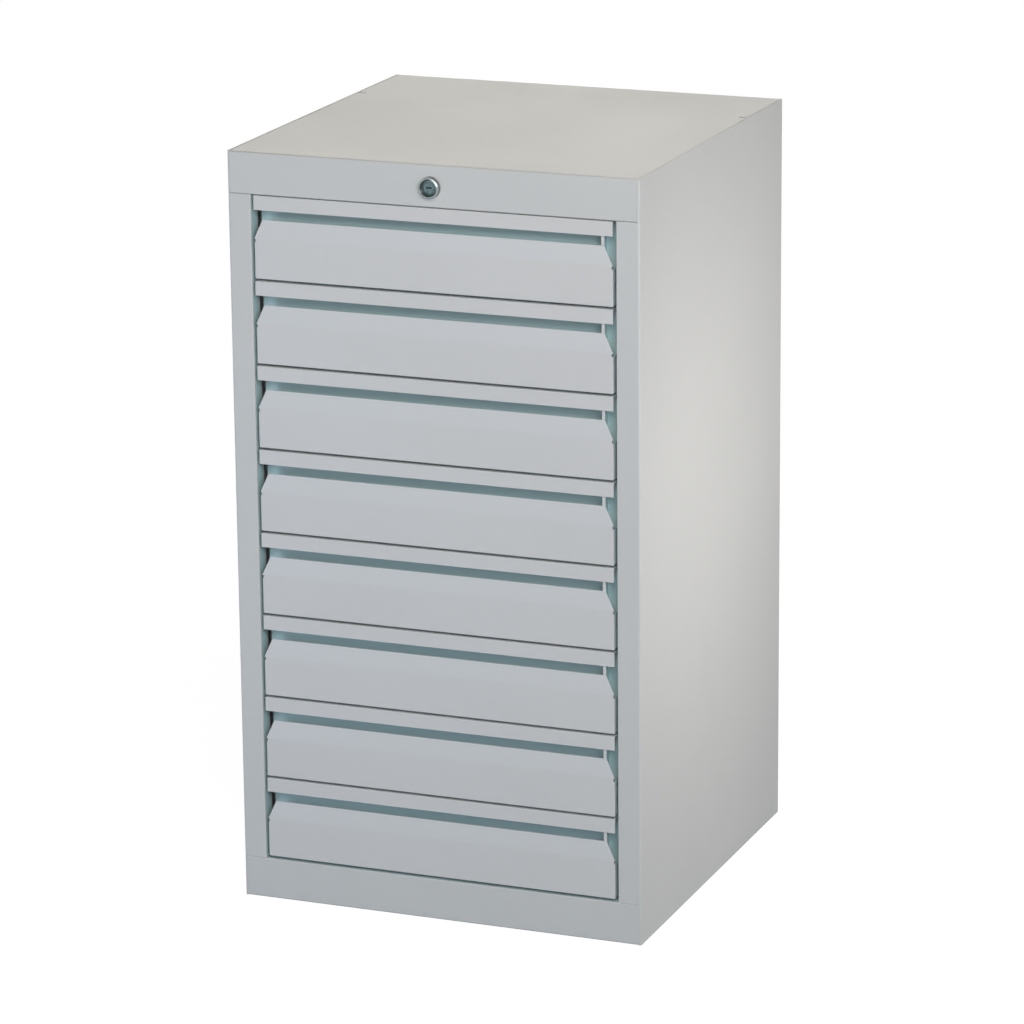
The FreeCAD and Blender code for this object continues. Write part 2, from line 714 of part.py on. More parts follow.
def build_grip_rail(number):
    # strip over the grip, top fold and grip wall in one sheet, with a gusset at the right end
    body = new_body(f"drawer_{number}_grip_rail")
    inside_top = f"{front_height} - drawer_sheet"
    sketch = new_sketch(body, "YZ")
    polygon(sketch, [
        (front, strip_bottom),
        (front, front_height),
        (tray_front, front_height),
        (tray_front, "drawer_sheet"),
        (grip_wall, "drawer_sheet"),
        (grip_wall, inside_top),
        (f"{front} + drawer_sheet", inside_top),
        (f"{front} + drawer_sheet", strip_bottom),
    ])
    pad(body, sketch, f"2 * {drawer_half}", symmetric=True)
    bend(body, "X", [(front, front_height), (tray_front, front_height)], "drawer_bend")
    sketch = new_sketch(body, "XZ", f"-({grip_wall} - drawer_bend)")
    corners = [
        (f"{drawer_half} - grip_end_gap", "0"),
        (f"{drawer_half} + {overcut}", "0"),
        (f"{drawer_half} + {overcut}", f"{front_height} - drawer_bend"),
        (f"{drawer_half} - grip_end_gap", f"{front_height} - drawer_bend"),
    ]
    polygon(sketch, corners)
    polygon(sketch, mirrored(corners))
    pocket(body, sketch, "drawer_bend + 2 * drawer_sheet")
    sketch = new_sketch(body, "XY", "gusset_foot")
    tab_back = f"{front} + lip_lean + 2 * drawer_sheet"
    corners = [
        (f"{tray_half} - drawer_sheet", grip_wall),
        (f"{tray_half} - drawer_sheet", f"{front} + lip_lean + drawer_sheet"),
        (f"{tray_half} - drawer_sheet + gusset_tab", f"{front} + lip_lean + drawer_sheet"),
        (f"{tray_half} - drawer_sheet + gusset_tab", tab_back),
        (tray_half, tab_back),
        (tray_half, grip_wall),
    ]
    polygon(sketch, corners)
    pad(body, sketch, f"{inside_top} - gusset_foot")
    place(body, z=drawer_floor(number))
    subparts.append(body)


def build_tray(number):
    body = new_body(f"drawer_{number}_tray")
    sketch = new_sketch(body, "XY", "tray_lift")
    rectangle(sketch, (f"-{tray_half}", tray_front), (tray_half, tray_back))
    pad(body, sketch, "tray_height")
    bend(body, "Y", [(f"-{tray_half}", "tray_lift"), (tray_half, "tray_lift")], "tray_bend")
    # open at the top
    top = max(enumerate(body.Shape.Faces, start=1), key=lambda pair: pair[1].CenterOfMass.z)
    base = body.Tip
    shell = body.newObject("PartDesign::Thickness", body.Name + "_shell")
    shell.Base = (base, [f"Face{top[0]}"])
    shell.setExpression("Value", bound("drawer_sheet"))
    shell.Reversed = True
    settle(body, shell)
    # hems along the sides' upper edges, folded to the inside
    sketch = new_sketch(body, "XZ", f"-{tray_back}")
    top_level = "tray_lift + tray_height"
    corners = [
        (f"{tray_half} - hem_width", f"{top_level} - drawer_sheet"),
        (f"{tray_half} - drawer_sheet / 2", f"{top_level} - drawer_sheet"),
        (f"{tray_half} - drawer_sheet / 2", top_level),
        (f"{tray_half} - hem_width", top_level),
    ]
    polygon(sketch, corners)
    polygon(sketch, mirrored(corners))
    pad(body, sketch, f"{tray_back} - {tray_front}")
    place(body, z=drawer_floor(number))
    subparts.append(body)


def build_fittings(number):
    # the moving runners of a drawer and its catch for the lock bar
    members = []
    for side, sign in (("left", -1), ("right", 1)):
        body = runner_body(f"runner_moving_{number}_{side}", sign, "moving")
        place(body, z=f"{drawer_floor(number)} + runner_level")
        members.append(body)
    body = new_body(f"catch_{number}")
    sketch = new_sketch(body, "XY", "catch_level")
    ear = f"{bar_face} - catch_sheet"
    polygon(sketch, [
        (tray_half, ear),
        (f"{tray_half} + catch_reach", ear),
        (f"{tray_half} + catch_reach", f"{ear} + catch_sheet"),
        (f"{tray_half} + catch_sheet", f"{ear} + catch_sheet"),
        (f"{tray_half} + catch_sheet", f"{ear} + catch_foot"),
        (tray_half, f"{ear} + catch_foot"),
    ])
    pad(body, sketch, "catch_height")
    place(body, z=drawer_floor(number))
    members.append(body)
    subparts.append(group(f"drawer_{number}_fittings", members))


# ---- lock ----


def revolve(body, section):
    # section in distance from the lock's axis and place along Y, turned about Y
    sketch = new_sketch(body, "XY")
    polygon(sketch, section)
    feature = body.newObject("PartDesign::Revolution", body.Name + "_turned")
    feature.Profile = sketch
    feature.ReferenceAxis = (sketch, ["V_Axis"])
    feature.Angle = 360
    settle(body, feature)


def build_lock():
    face = f"{front} - collar_length"
    barrel_end = f"{front} + barrel_length"
    bore = "plug_radius + plug_play"
    housing = new_body("lock_housing")
    revolve(housing, [
        (bore, f"{face} + face_recess"),
        ("rim_radius", f"{face} + face_recess"),
        ("rim_radius", face),
        ("collar_face - collar_chamfer", face),
        ("collar_face", f"{face} + collar_chamfer"),
        ("collar_radius", front),
        ("barrel_radius", front),
        ("barrel_radius", barrel_end),
        (bore, barrel_end),
    ])
    place(housing, z=lock_level)
    subparts.append(housing)

    nut = new_body("lock_nut")
    sketch = new_sketch(nut, "XZ", f"-({front} + casing_sheet + nut_height)")
    corner_reach = "nut_flats / 2 / cos(30)"
    hexagon = [
        (f"{corner_reach} * cos({60 * step})", f"{corner_reach} * sin({60 * step})")
        for step in range(6)
    ]
    polygon(sketch, hexagon)
    circle(sketch, ("0", "0"), "barrel_radius + plug_play")
    pad(nut, sketch, "nut_height")
    place(nut, z=lock_level)
    subparts.append(nut)

    plug = new_body("lock_plug")
    step = f"{barrel_end} + plug_step"
    tail_end = f"{bar_face} + plug_step"
    revolve(plug, [
        ("0", f"{face} + plug_recess"),
        ("plug_radius", f"{face} + plug_recess"),
        ("plug_radius", step),
        ("tail_radius", step),
        ("tail_radius", tail_end),
        ("0", tail_end),
    ])
    sketch = new_sketch(plug, "XZ", f"-({face} + plug_recess + key_depth)")
    rectangle(sketch, ("-key_width / 2", "-key_height / 2"), ("key_width / 2", "key_height / 2"))
    pocket(plug, sketch, f"key_depth + {overcut}", reverse=True)
    place(plug, z=lock_level)
    subparts.append(plug)

    cam = new_body("lock_cam")
    sketch = new_sketch(cam, "XZ", f"-{bar_face}")
    obround(sketch, "0", "cam_crank", "0", "cam_radius")
    circle(sketch, ("0", "0"), "tail_radius + plug_play")
    pad(cam, sketch, "lock_plate")
    sketch = new_sketch(cam, "XZ", f"-{pin_tip}")
    circle(sketch, ("cam_crank", "0"), "lock_pin")
    pad(cam, sketch, "pin_length + lock_plate / 2")
    tilt(cam, "cam_angle", -1)
    place(cam, z=lock_level)
    subparts.append(cam)


def build_rocker():
    # carries the cam's swing across to the bar; drawn level about its stud
    body = new_body("lock_rocker")
    sketch = new_sketch(body, "XZ", f"-{rocker_rear}")
    left_far = f"((rocker_pivot - {cam_offset}) / cos({rocker_tilt}))"
    left_near = "(rocker_pivot - cam_crank)"
    right_far = f"({rocker_arm} / cos({rocker_tilt}))"
    obround(sketch, f"-{left_far}", right_far, "0", "rocker_half")
    circle(sketch, ("0", "0"), "stud_radius + plug_play")
    slot = "lock_pin + slot_play"
    obround(sketch, f"-{left_far} - slot_play / 2", f"-{left_near} + slot_play / 2", "0", slot)
    obround(sketch, f"{rocker_arm} - slot_play / 2", f"{right_far} + slot_play / 2", "0", slot)
    pad(body, sketch, "lock_plate")
    tilt(body, rocker_tilt, 1)
    place(body, x="rocker_pivot", z=lock_level)
    subparts.append(body)

    bracket = new_body("rocker_bracket")
    underside = f"({casing_top} - casing_sheet)"
    sketch = new_sketch(bracket, "YZ")
    polygon(sketch, [
        (pin_tip, f"{lock_level} - rocker_half"),
        (pin_tip, underside),
        (f"{pin_tip} + apron_return", underside),
        (f"{pin_tip} + apron_return", f"{underside} - upright_sheet"),
        (f"{pin_tip} + upright_sheet", f"{underside} - upright_sheet"),
        (f"{pin_tip} + upright_sheet", f"{lock_level} - rocker_half"),
    ])
    pad(bracket, sketch, "4 * rocker_half", symmetric=True)
    # spacer and stud
    for radius, tip in (("spacer_radius", f"{rocker_rear} + rocker_play"), ("stud_radius", bar_face)):
        sketch = new_sketch(bracket, "XZ", f"-{pin_tip}")
        circle(sketch, ("0", lock_level), radius)
        pad(bracket, sketch, f"{pin_tip} - ({tip})")
    place(bracket, x="rocker_pivot")
    subparts.append(bracket)


def finger_level(number):
    return f"({drawer_floor(number)} + catch_level - finger_gap - finger_height)"


def build_lock_bar():
    body = new_body("lock_bar")
    pin_level = f"({lock_level} - {bar_travel} / 2)"
    sketch = new_sketch(body, "XZ", f"-{bar_face}")
    rectangle(
        sketch,
        (bar_inner, f"{finger_level(drawer_count)} - finger_height"),
        (bar_outer, f"{pin_level} + rocker_half"),
    )
    pad(body, sketch, "lock_plate")
    sketch = new_sketch(body, "XZ", f"-{pin_tip}")
    circle(sketch, (bar_middle, pin_level), "lock_pin")
    pad(body, sketch, "pin_length + lock_plate / 2")
    subparts.append(body)

    hooks = []
    for number in range(1, drawer_count + 1):
        hook = new_body(f"lock_hook_{number}")
        sketch = new_sketch(hook, "XZ", f"-({bar_face} - lock_plate)")
        lap = f"{bar_inner} + hook_width / 2"
        polygon(sketch, [
            (f"{lap} - hook_width", "finger_slope"),
            (lap, "0"),
            (lap, "finger_height"),
            (f"{lap} - hook_width", "finger_height"),
        ])
        pad(hook, sketch, "lock_plate")
        place(hook, z=finger_level(number))
        hooks.append(hook)
    subparts.append(group("lock_hooks", hooks))

    guides = []
    foot_face = f"({wall_inside} - upright_sheet)"
    for count, number in enumerate(guided_drawers, start=1):
        guide = new_body(f"bar_guide_{count}")
        sketch = new_sketch(guide, "XY")
        near = f"{bar_face} + guide_play"
        far = f"{bar_face} - lock_plate - guide_play"
        mouth = f"{bar_outer} - lock_plate"
        polygon(sketch, [
            (mouth, f"{near} + lock_plate"),
            (foot_face, f"{near} + lock_plate"),
            (foot_face, f"{far} - lock_plate"),
            (mouth, f"{far} - lock_plate"),
            (mouth, far),
            (f"{bar_outer} + guide_play", far),
            (f"{bar_outer} + guide_play", near),
            (mouth, near),
        ])
        pad(guide, sketch, "guide_height")
        place(guide, z=f"{finger_level(number)} - guide_drop")
        guides.append(guide)
    subparts.append(group("bar_guides", guides))


build_side("side_left", -1)
build_side("side_right", 1)
build_top_cover()
build_base_pan()
build_back_panel()
build_uprights("uprights_left", -1)
build_uprights("uprights_right", 1)
build_fixed_runners("runners_fixed_left", -1)
build_fixed_runners("runners_fixed_right", 1)
for drawer in range(1, drawer_count + 1):
    build_middle_runners(drawer)
    build_front(drawer)
    build_grip_rail(drawer)
    build_tray(drawer)
    build_fittings(drawer)
build_lock()
build_rocker()
build_lock_bar()

doc.recompute()
for item in doc.Objects:
    if "Invalid" in item.State or "Error" in item.State:
        raise RuntimeError(item.Label + " failed to build")
os.makedirs("parts", exist_ok=True)
for item in subparts:
    if item.Shape.isNull() or not item.Shape.isValid():
        raise RuntimeError(item.Label + " has no valid shape")
    item.Shape.exportStep(f"parts/{item.Label}.step")
print("sub-parts:", len(subparts))
print("bar travel:", round(value(bar_travel), 3), "rocker swing:", round(2 * value(rocker_tilt), 4))
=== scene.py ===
from math import pi, radians

import bmesh
import bpy
from mathutils import Matrix, Vector


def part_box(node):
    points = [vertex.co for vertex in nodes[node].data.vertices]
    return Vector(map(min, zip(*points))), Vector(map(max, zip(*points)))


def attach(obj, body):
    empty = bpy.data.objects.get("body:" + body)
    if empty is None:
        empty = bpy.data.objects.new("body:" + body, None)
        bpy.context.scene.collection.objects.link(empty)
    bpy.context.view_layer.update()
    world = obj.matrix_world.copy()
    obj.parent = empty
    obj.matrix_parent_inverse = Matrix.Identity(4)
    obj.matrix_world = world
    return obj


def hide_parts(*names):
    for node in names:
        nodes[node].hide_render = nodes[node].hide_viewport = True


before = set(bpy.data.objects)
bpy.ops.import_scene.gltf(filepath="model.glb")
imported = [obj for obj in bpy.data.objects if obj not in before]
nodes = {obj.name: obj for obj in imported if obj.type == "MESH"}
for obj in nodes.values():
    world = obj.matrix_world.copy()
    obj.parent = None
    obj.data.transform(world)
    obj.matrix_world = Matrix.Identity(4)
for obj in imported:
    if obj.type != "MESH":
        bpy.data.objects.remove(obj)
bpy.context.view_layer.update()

mm = 0.001
scene = bpy.context.scene
drawerCount = sum(name.endswith("_front") for name in nodes)
drawerNumbers = range(1, drawerCount + 1)
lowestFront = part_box(f"drawer_{drawerCount}_front")[0][2]
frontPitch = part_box(f"drawer_{drawerCount - 1}_front")[0][2] - lowestFront
closeBy = 0.000005   # vertices nearer than this are one
print("frame loaded:", len(nodes), "nodes")


# Shader sockets as Python values: an operator adds the Math node that does it
class Shade:
    def __init__(self, tree, socket=None):
        self.tree = tree
        self.socket = socket

    # any node: its settings first, then the values or links of its sockets
    def make(self, kind, settings=None, inputs=None, output=0):
        node = self.tree.nodes.new(kind)
        for name, setting in (settings or {}).items():
            setattr(node, name, setting)
        for name, value in (inputs or {}).items():
            if isinstance(value, Shade):
                self.tree.links.new(value.socket, node.inputs[name])
            else:
                node.inputs[name].default_value = value
        return Shade(self.tree, node.outputs[output] if node.outputs else None)

    def math(self, operation, *values):
        return self.make("ShaderNodeMath", {"operation": operation}, dict(enumerate(values)))

    def __add__(self, other):
        return self.math("ADD", self, other)

    def __radd__(self, other):
        return self.math("ADD", other, self)

    def __sub__(self, other):
        return self.math("SUBTRACT", self, other)

    def __rsub__(self, other):
        return self.math("SUBTRACT", other, self)

    def __mul__(self, other):
        return self.math("MULTIPLY", self, other)

    def __rmul__(self, other):
        return self.math("MULTIPLY", other, self)

    def __pow__(self, other):
        return self.math("POWER", self, other)

    def size(self):
        return self.math("ABSOLUTE", self)

    def most(self, other):
        return self.math("MAXIMUM", self, other)

    # 0 at the low value and 1 at the high one, with soft ends
    def rise(self, low, high):
        return self.make(
            "ShaderNodeMapRange",
            {"interpolation_type": "SMOOTHSTEP"},
            {"Value": self, "From Min": low, "From Max": high},
        )

    # 1 between the low value and the high one
    def band(self, low, high, soft):
        return self.rise(low, low + soft) * (1 - self.rise(high, high + soft))

    def parts(self):
        return [self.make("ShaderNodeSeparateXYZ", None, {"Vector": self}, axis) for axis in "XYZ"]

    def noise(self, place, scale, detail=2.0, roughness=0.5):
        return self.make(
            "ShaderNodeTexNoise", None,
            {"Vector": place, "Scale": scale, "Detail": detail, "Roughness": roughness},
        )

    # the Mix node's colour sockets go by number, because its names repeat
    def tint(self, amount, first, second):
        return self.make(
            "ShaderNodeMix", {"data_type": "RGBA"},
            {0: amount, 6: first, 7: second}, 2,
        )

    def stretched(self, place, scales):
        return self.make("ShaderNodeMapping", None, {"Vector": place, "Scale": scales})


def rgb(red, green, blue):
    return (red, green, blue, 1.0)


def newMaterial(name):
    material = bpy.data.materials.new(name)
    material.use_nodes = True
    tree = material.node_tree
    surface = tree.nodes["Principled BSDF"]
    start = Shade(tree)
    place = start.make("ShaderNodeTexCoord", output="Object")
    return material, surface, start, place


def finishMaterial(surface, start, settings, colour, roughness, height, depth):
    for name, value in settings.items():
        surface.inputs[name].default_value = value
    tree = start.tree
    tree.links.new(colour.socket, surface.inputs["Base Color"])
    tree.links.new(roughness.socket, surface.inputs["Roughness"])
    relief = {"Strength": 1.0, "Distance": depth, "Height": height}
    bump = start.make("ShaderNodeBump", None, relief)
    tree.links.new(bump.socket, surface.inputs["Normal"])


# finishes

powder = {
    "cloudScale": 5.0,                # slow changes of tone, per metre
    "patchScale": 38.0,
    "grainScale": 2600.0,             # fine grain of the coat
    "peelScale": 620.0,               # orange peel
    "peelDepth": 0.00003,
    "grainHeight": 0.25,              # against the peel's
    "mottle": (0.9, 0.35, 0.5),       # shares of cloud, patch and grain
    "roughness": 0.5,
    "uneven": 0.10,                   # how far cloud and grain move the roughness
    "specular": 0.36,
    "scuffTop": 0.035,                # scuffs from the floor and mops end at this height
    "scuffScale": 90.0,
    "scuffSquash": (1.0, 1.0, 6.0),   # lays the streaks flat
    "scuffEdge": (0.55, 0.75),
    "scuffTint": 0.18,
    "scuffRoughness": 0.15,
    "scuffColour": (0.33, 0.33, 0.32),
}
paintedShadeZone = {                            # painted shade: grips and gaps are painted a cooler teal, standing for the shade that falls in them
    "sunkFrom": (-0.2482, -0.2462),   # starts behind the faces of the fronts
    "sunkTo": (-0.2320, -0.2316),     # ends at the grips' back walls
    "sunkSides": (0.238, 0.245),      # fades towards the edges of the casing
    "sunkTop": (0.885, 0.892),
    "paintedShadeColour": (0.45, 0.61, 0.615),
}
frontFinish = dict(
    powder,
    **paintedShadeZone,
    colour=(0.579, 0.576, 0.570),
    shade=(0.557, 0.556, 0.551),
    lipLevels=(0.0468, 0.0700),       # the slanted lip, above a front's lower edge
    lipEdge=0.0004,
    paintedLipLight=(0.574, 0.582, 0.584),
    gripLevels=(0.0400, 0.0822),
    gripEdge=0.001,
    gapShadeShare=0.4,                     # how much of the painted shade the gaps get; the grips get all of it
)
casingFinish = dict(
    powder,
    **paintedShadeZone,
    colour=(0.546, 0.552, 0.542),
    shade=(0.524, 0.531, 0.523),
    weldAcross=0.2385,                # spot welds on the rear flanges
    weldPitch=0.12,
    weldRadius=(0.00252, 0.0036),     # of the mark's middle and of its soft edge
    weldBehind=0.2485,
    weldDepth=5.0,                    # against the peel's
    weldTint=0.4,
    weldColour=(0.42, 0.42, 0.415),
)
trayFinish = dict(powder, colour=(0.520, 0.525, 0.530), shade=(0.490, 0.497, 0.505))


# painted shade: how deep a point lies in the grips and gaps, where the coat is painted a cooler
# teal
def paintedShadeAmount(x, y, z, options):
    sunk = y.rise(*options["sunkFrom"]) * (1 - y.rise(*options["sunkTo"]))
    sunk = sunk * (1 - x.size().rise(*options["sunkSides"]))
    return sunk * (1 - z.rise(*options["sunkTop"]))


def weldAmount(x, y, z, options):
    quarter = options["weldPitch"] / 4
    along = z.math("PINGPONG", z, 2 * quarter) - quarter
    away = ((x.size() - options["weldAcross"]) ** 2 + along ** 2) ** 0.5
    mark = 1 - away.rise(*options["weldRadius"])
    return mark * y.math("GREATER_THAN", y, options["weldBehind"])


def powderCoat(name, options):
    material, surface, start, place = newMaterial(name)
    x, y, z = place.parts()
    cloud = start.noise(place, options["cloudScale"], detail=3.0)
    patch = start.noise(place, options["patchScale"])
    grain = start.noise(place, options["grainScale"], detail=1.0)
    peel = start.noise(place, options["peelScale"], roughness=0.45)
    cloudShare, patchShare, grainShare = options["mottle"]
    mottle = (cloud - 0.5) * cloudShare + (patch - 0.5) * patchShare + (grain - 0.5) * grainShare
    tone = (mottle + 0.5).rise(0.0, 1.0)
    coat = start.tint(tone, rgb(*options["colour"]), rgb(*options["shade"]))
    if "paintedShadeColour" in options:
        sunk = paintedShadeAmount(x, y, z, options)
        if "paintedLipLight" in options:   # painted light: the slanted lips are painted a little lighter and bluer, as the light falls on them more
            level = z.math("WRAP", z, lowestFront + frontPitch, lowestFront) - lowestFront
            lip = level.band(*options["lipLevels"], options["lipEdge"])
            coat = start.tint(lip, coat, rgb(*options["paintedLipLight"]))
            grip = level.band(*options["gripLevels"], options["gripEdge"])
            sunk = sunk * (options["gapShadeShare"] + (1 - options["gapShadeShare"]) * grip)
        # painted shade: the grips and gaps take the cooler teal
        coat = start.tint(sunk, coat, rgb(*options["paintedShadeColour"]))
    flat = start.stretched(place, options["scuffSquash"])
    streaks = start.noise(flat, options["scuffScale"], detail=4.0, roughness=0.7)
    scuff = (1 - z.rise(0.0, options["scuffTop"])) * streaks.rise(*options["scuffEdge"])
    coat = start.tint(scuff * options["scuffTint"], coat, rgb(*options["scuffColour"]))
    roughness = options["roughness"] + (cloud - 0.5) * options["uneven"]
    roughness = roughness + (grain - 0.5) * options["uneven"] + scuff * options["scuffRoughness"]
    height = peel + grain * options["grainHeight"]
    if "weldColour" in options:
        mark = weldAmount(x, y, z, options)
        height = height - mark * options["weldDepth"]
        coat = start.tint(mark * options["weldTint"], coat, rgb(*options["weldColour"]))
    settings = {"Specular IOR Level": options["specular"], "Metallic": 0.0}
    finishMaterial(surface, start, settings, coat, roughness, height, options["peelDepth"])
    return material


zincPlate = {
    "colour": (0.48, 0.49, 0.50),
    "spangle": (0.39, 0.405, 0.42),
    "grain": 420.0,           # drawn lines, per metre across them
    "bloom": 60.0,
    "roughness": 0.48,
    "uneven": (0.22, 0.12),   # how far grain and bloom move the roughness
    "depth": 0.00002,
}


def zincMetal(name, options=zincPlate, along=(1.0, 0.04, 1.0)):
    material, surface, start, place = newMaterial(name)
    stretched = start.stretched(place, along)
    drawn = start.noise(stretched, options["grain"], detail=3.0, roughness=0.6)
    bloom = start.noise(place, options["bloom"], detail=3.0, roughness=0.6)
    mix = drawn * 0.5 + bloom * 0.5
    colour = start.tint(mix, rgb(*options["colour"]), rgb(*options["spangle"]))
    drawnShare, bloomShare = options["uneven"]
    roughness = options["roughness"] + (drawn - 0.5) * drawnShare + (bloom - 0.5) * bloomShare
    finishMaterial(surface, start, {"Metallic": 1.0}, colour, roughness, drawn, options["depth"])
    return material


polish = {
    "haze": 900.0,
    "smear": 260.0,
    "smearEdge": (0.35, 0.75),
    "uneven": 0.12,           # how far the haze moves the roughness
    "depth": 0.000008,
}
collarPolish = dict(polish, colour=(0.33, 0.36, 0.355), dull=(0.25, 0.28, 0.275), roughness=0.19)
# painted shade: the plug is the collar's polish made near-black, standing for the shade in the
# dished recess
plugShadedPolish = dict(polish, colour=(0.064, 0.086, 0.083), dull=(0.040, 0.057, 0.055), roughness=0.24)


def polishedMetal(name, options):
    material, surface, start, place = newMaterial(name)
    haze = start.noise(place, options["haze"], detail=3.0, roughness=0.6)
    smear = start.noise(place, options["smear"])
    smeared = smear.rise(*options["smearEdge"])
    shade = start.tint(smeared, rgb(*options["colour"]), rgb(*options["dull"]))
    roughness = options["roughness"] + (haze - 0.5) * options["uneven"]
    finishMaterial(surface, start, {"Metallic": 1.0}, shade, roughness, haze, options["depth"])
    return material


moulding = {
    "colour": (0.035, 0.035, 0.04),
    "lighter": 1.5,           # its palest against its darkest
    "grain": 1800.0,
    "cloud": 120.0,
    "roughness": 0.5,
    "uneven": 0.12,           # how far the grain moves the roughness
    "depth": 0.00002,
}


def mouldedPlastic(name, options=moulding):
    material, surface, start, place = newMaterial(name)
    grain = start.noise(place, options["grain"])
    cloud = start.noise(place, options["cloud"])
    paler = [options["lighter"] * level for level in options["colour"]]
    shade = start.tint(cloud, rgb(*options["colour"]), rgb(*paler))
    roughness = options["roughness"] + (grain - 0.5) * options["uneven"]
    finishMaterial(surface, start, {"Metallic": 0.0}, shade, roughness, grain, options["depth"])
    return material


casingCoat = powderCoat("casingCoat", casingFinish)
frontCoat = powderCoat("frontCoat", frontFinish)
trayCoat = powderCoat("trayCoat", trayFinish)
zincCoat = zincMetal("zincCoat")
uprightZinc = zincMetal("uprightZinc", along=(1.0, 1.0, 0.04))
collarNickel = polishedMetal("collarNickel", collarPolish)
plugShadedNickel = polishedMetal("plugShadedNickel", plugShadedPolish)
guidePlastic = mouldedPlastic("guidePlastic")
print("finishes made")


def dress(name, material):
    slots = nodes[name].data.materials
    slots.clear()
    slots.append(material)


for name in ("side_left", "side_right", "top_cover", "base_pan", "back_panel"):
    dress(name, casingCoat)
for number in drawerNumbers:
    dress(f"drawer_{number}_front", frontCoat)
    dress(f"drawer_{number}_grip_rail", frontCoat)
    dress(f"drawer_{number}_tray", trayCoat)
    dress(f"drawer_{number}_fittings", zincCoat)
    dress(f"runner_middle_{number}", zincCoat)
for name in ("runners_fixed_left", "runners_fixed_right", "rocker_bracket"):
    dress(name, zincCoat)
for name in ("lock_cam", "lock_nut", "lock_rocker", "lock_hooks"):
    dress(name, zincCoat)
for name in ("uprights_left", "uprights_right", "lock_bar"):
    dress(name, uprightZinc)
dress("lock_housing", collarNickel)
dress("lock_plug", plugShadedNickel)
dress("bar_guides", guidePlastic)
print("steel dressed")


# new pieces

def keepPiece(bm, name, material, body, smoothBelow=radians(35)):
    mesh = bpy.data.meshes.new(name)
    bm.normal_update()
    for face in bm.faces:
        face.smooth = True
    for edge in bm.edges:
        edge.smooth = edge.is_manifold and edge.calc_face_angle(0) < smoothBelow
    bm.to_mesh(mesh)
    bm.free()
    mesh.materials.append(material)
    piece = bpy.data.objects.new(name, mesh)
    scene.collection.objects.link(piece)
    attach(piece, body)
    return piece


# a closed outline of (radius, depth behind the lock's front) in millimetres, turned about its axis
def turnAboutLock(bm, outline, steps):
    ring = [bm.verts.new((radius * mm, depth * mm, 0)) for radius, depth in outline]
    sides = [bm.edges.new(pair) for pair in zip(ring, ring[1:] + ring[:1])]
    bmesh.ops.spin(
        bm, geom=ring + sides, cent=(0, 0, 0), axis=(0, 1, 0),
        angle=2 * pi, steps=steps, use_merge=True,
    )
    bmesh.ops.remove_doubles(bm, verts=bm.verts, dist=closeBy)
    bmesh.ops.recalc_face_normals(bm, faces=bm.faces)


lock = {                      # millimetres
    "steps": 64,
    "rim": [
        (9.9, 1.0), (10.1, 0.3), (10.4, 0.0), (10.7, 0.08),
        (11.9, 1.1), (12.15, 1.45), (12.25, 1.9),
    ],
    "shoulder": 20.0,         # length of the housing behind the fascia's face
    "foot": 12.8,             # collar where it meets the fascia
    "footEdge": (0.15, 0.4),
    "bowl": (8.4, 3.8),       # floor of the dished face: radius and depth
    "bowlFall": 0.1,
    "bore": 7.05,
    "barrel": 9.5,
    "barrelEnd": 26.5,
    "barrelEdge": 0.5,
    "threadStart": 1.5,
    "threadPitch": 1.25,
    "threadDepth": 0.55,
    "plugSteps": 48,
    "plugFace": 3.5,
    "plugRadius": 7.0,
    "plugEnd": 27.0,
    "plugEdge": (0.4, 0.3),   # chamfer round its face
    "tail": (4.0, 5.0),       # radius and length
    "keySlot": (3.2, 0.8, 9.0),   # half width, half height and depth
    "slotRound": (1.1, 0.6),      # a wider circle, squashed, gives its rounded corners
    "slotLip": (0.4, 0.93),       # depth, and how far it narrows
}
lockLow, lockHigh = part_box("lock_housing")
lockPlace = Vector((0, lockLow[1], (lockLow[2] + lockHigh[2]) / 2))


def makeLockCollar(options=lock):
    bm = bmesh.new()
    bowlRadius, bowlDepth = options["bowl"]
    bore, foot, barrel = options["bore"], options["foot"], options["barrel"]
    end, pitch, chamfer = options["barrelEnd"], options["threadPitch"], options["barrelEdge"]
    footIn, footUp = options["footEdge"]
    seat = (lockHigh[1] - lockLow[1]) / mm - options["shoulder"]   # the fascia's face
    bowlFloor = bowlDepth + options["bowlFall"]
    outline = [(bore, bowlFloor), (bowlRadius, bowlDepth)]
    outline += options["rim"]
    outline += [(foot - footIn, seat - footUp), (foot, seat), (barrel, seat)]
    depth = seat + options["threadStart"]
    while depth + pitch < end - chamfer:
        outline += [(barrel, depth), (barrel - options["threadDepth"], depth + 0.5 * pitch)]
        depth += pitch
    outline += [(barrel, depth), (barrel - chamfer, end), (bore, end)]
    turnAboutLock(bm, outline, options["steps"])
    for face in bm.faces:   # painted shade: the floor of the dish gets the plug's near-black metal, standing for the shade deep in the dish
        middle = face.calc_center_median()
        across = Vector((middle.x, middle.z)).length
        if across < bowlRadius * mm and middle.y < bowlFloor * mm:
            face.material_index = 1
    bmesh.ops.translate(bm, verts=bm.verts, vec=lockPlace)
    piece = keepPiece(bm, "lockCollar", collarNickel, "casing")
    piece.data.materials.append(plugShadedNickel)
    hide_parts("lock_housing")


# a copy of the edges, drawn back and scaled about the lock's axis, with faces between
def drawnBack(bm, edges, depth, scale):
    made = bmesh.ops.extrude_edge_only(bm, edges=edges)["geom"]
    verts = [item for item in made if isinstance(item, bmesh.types.BMVert)]
    bmesh.ops.translate(bm, verts=verts, vec=(0, depth, 0))
    bmesh.ops.scale(bm, verts=verts, vec=(scale, 1, scale))
    return [item for item in made if isinstance(item, bmesh.types.BMEdge)]


